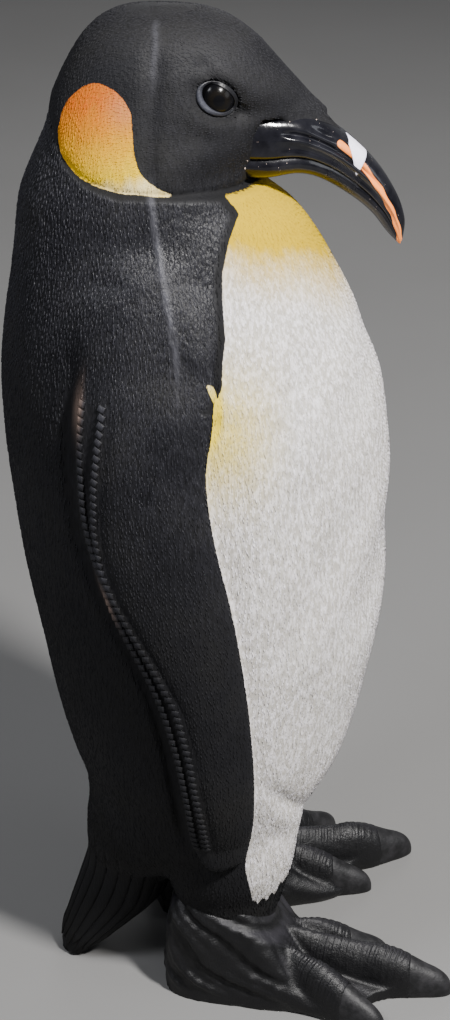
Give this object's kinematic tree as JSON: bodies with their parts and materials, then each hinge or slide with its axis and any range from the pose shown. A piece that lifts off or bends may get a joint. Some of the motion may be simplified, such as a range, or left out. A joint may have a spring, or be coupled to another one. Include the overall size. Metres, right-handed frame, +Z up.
{
  "type": "life-size penguin statue",
  "caption": "Life-size standing penguin statue in painted cast resin, king-penguin type, with orange ear patches and a taped paper label on the bill.",
  "frame": {"origin": "on the floor, under the middle of the figure's bounding box", "axes": "+X is the way the bird faces, +Y is the bird's left, +Z is up"},
  "size_m": [0.4012, 0.3406, 0.94],
  "materials": {
    "black_paint": "satin black paint over feather-textured cast resin",
    "white_paint": "matte off-white paint over feather-textured cast resin",
    "foot_paint": "satin black paint over wrinkled cast resin",
    "bill_lacquer": "high-gloss black lacquer with a painted orange stripe",
    "eye_lacquer": "gloss black",
    "label_paper": "bare white paper, torn to shape",
    "clear_tape": "clear adhesive tape"
  },
  "bodies": {
    "root": {"bill_lower": "bill_lacquer", "bill_upper": "bill_lacquer", "claw_L_inner": "foot_paint", "claw_L_middle": "foot_paint", "claw_L_outer": "foot_paint", "claw_R_inner": "foot_paint", "claw_R_middle": "foot_paint", "claw_R_outer": "foot_paint", "eye_L": "eye_lacquer", "eye_R": "eye_lacquer", "flipper_L": "black_paint", "flipper_R": "black_paint", "foot_L": "foot_paint", "foot_R": "foot_paint", "head": "black_paint", "label_paper": "label_paper", "label_tape": "clear_tape", "leg_L": "white_paint", "leg_R": "white_paint", "neck": "black_paint", "tail": "black_paint", "trunk_lower": "white_paint", "trunk_upper": "white_paint"}
  },
  "joints": []
}
